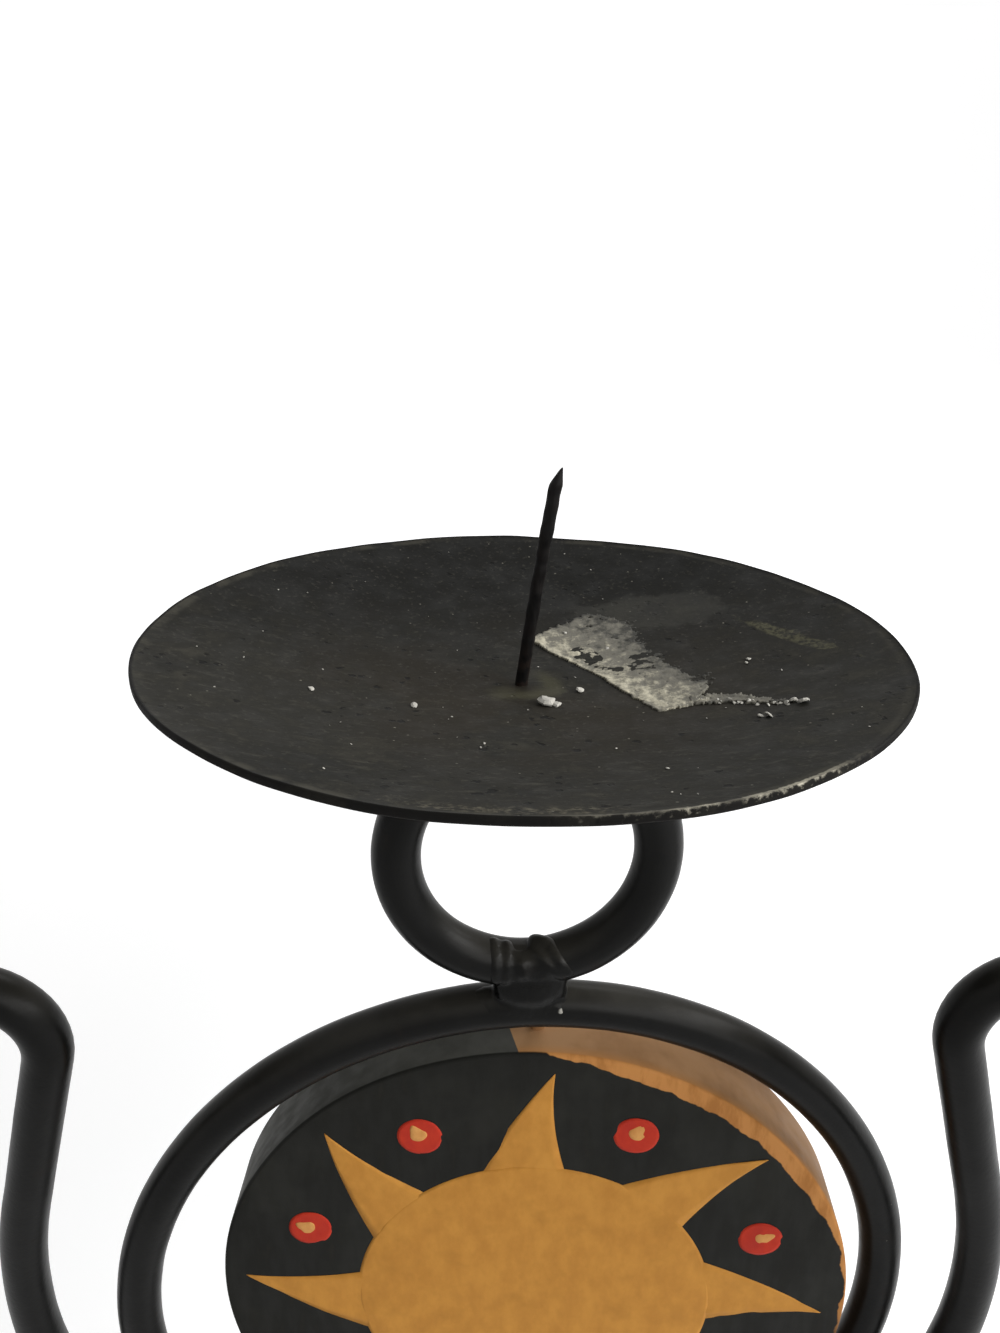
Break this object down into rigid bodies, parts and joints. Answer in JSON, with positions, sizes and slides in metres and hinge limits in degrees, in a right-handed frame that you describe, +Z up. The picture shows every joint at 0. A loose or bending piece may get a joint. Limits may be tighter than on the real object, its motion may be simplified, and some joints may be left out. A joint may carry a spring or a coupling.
{
  "type": "pricket candle stand",
  "caption": "Black iron pricket candle stand: dished drip plates with nail spikes on a bent-bar frame, a painted sun disc turning on pins in a ring, and splayed bar legs.",
  "frame": {"origin": "middle of the floor under the post", "axes": "+Z up, -Y towards the front, +X to the right of someone facing the front"},
  "size_m": [0.4108, 0.1489, 0.3758],
  "materials": {
    "black_bar": "satin black paint on round bar, worn thin with a little rust",
    "plate_iron": "dull blackened sheet, pitted and stained by candle wax",
    "nail_iron": "black nail with a rusty foot",
    "weld_bead": "lumpy weld under black paint",
    "painted_disc": "hand-painted black with ochre rays and red dots"
  },
  "bodies": {
    "stand": {"arm_bar": "black_bar", "centre_drip_plate": "plate_iron", "centre_plate_weld": "weld_bead", "centre_pricket_nail": "nail_iron", "cradle_weld": "weld_bead", "disc_ring": "black_bar", "front_left_leg": "black_bar", "front_right_leg": "black_bar", "left_drip_plate": "plate_iron", "left_plate_weld": "weld_bead", "left_pricket_nail": "nail_iron", "leg_weld": "weld_bead", "lower_pivot_pin": "black_bar", "neck_ring": "black_bar", "neck_weld": "weld_bead", "post": "black_bar", "post_weld": "weld_bead", "rear_left_leg": "black_bar", "rear_right_leg": "black_bar", "right_drip_plate": "plate_iron", "right_plate_weld": "weld_bead", "right_pricket_nail": "nail_iron", "upper_pivot_pin": "black_bar"},
    "disc": {"sun_disc": "painted_disc"}
  },
  "joints": [
    {"name": "disc_turn", "type": "hinge", "parent": "stand", "child": "disc", "pos_m": [0.0049, 0.0057, 0.2134], "axis": [0, 0, 1], "continuous": true}
  ]
}
